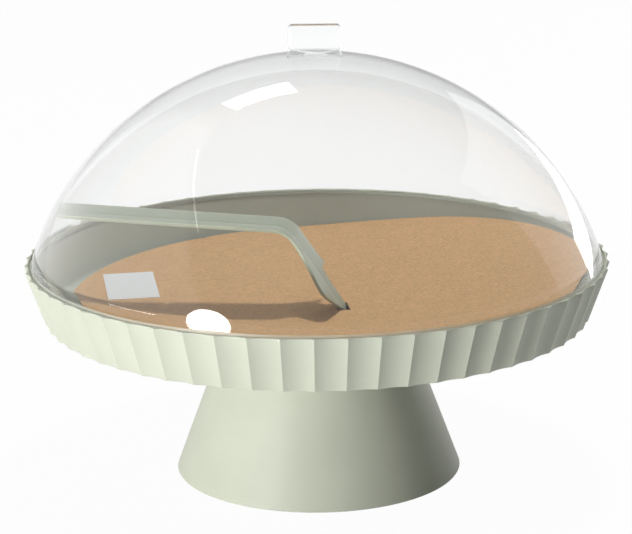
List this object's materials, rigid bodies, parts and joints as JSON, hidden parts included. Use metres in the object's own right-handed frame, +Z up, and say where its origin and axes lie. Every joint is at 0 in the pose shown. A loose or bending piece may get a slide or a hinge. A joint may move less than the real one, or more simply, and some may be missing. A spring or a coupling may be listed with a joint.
{
  "type": "cake stand with dome",
  "caption": "Fluted deep tray on a hollow conical foot, closed by a clear domed lid with a finger tab, with a server and a card insert inside.",
  "frame": {"origin": "middle of the foot's underside, on the surface it stands on", "axes": "+Z up through the foot, tray and dome; the picture's viewpoint is on the -Y side and the dome's tab is wide along X"},
  "size_m": [0.3, 0.3, 0.233],
  "materials": {
    "sage_plastic": "satin moulded plastic",
    "clear_plastic": "clear polished moulding",
    "kraft_board": "uncoated brown paperboard",
    "label_paper": "blank matt white"
  },
  "bodies": {
    "foot": {"foot": "sage_plastic"},
    "tray": {"tray": "sage_plastic", "card_insert": "kraft_board", "card_label": "label_paper", "cake_server": "sage_plastic"},
    "dome": {"dome_shell": "clear_plastic", "dome_tab": "clear_plastic"}
  },
  "joints": [
    {"name": "tray_twist", "type": "hinge", "parent": "foot", "child": "tray", "pos_m": [0, 0, 0.0848], "axis": [0, 0, 1], "range_deg": [0, 40]},
    {"name": "dome_lift", "type": "slide", "parent": "tray", "child": "dome", "axis": [0, 0, 1], "range_m": [0, 0.15]}
  ]
}
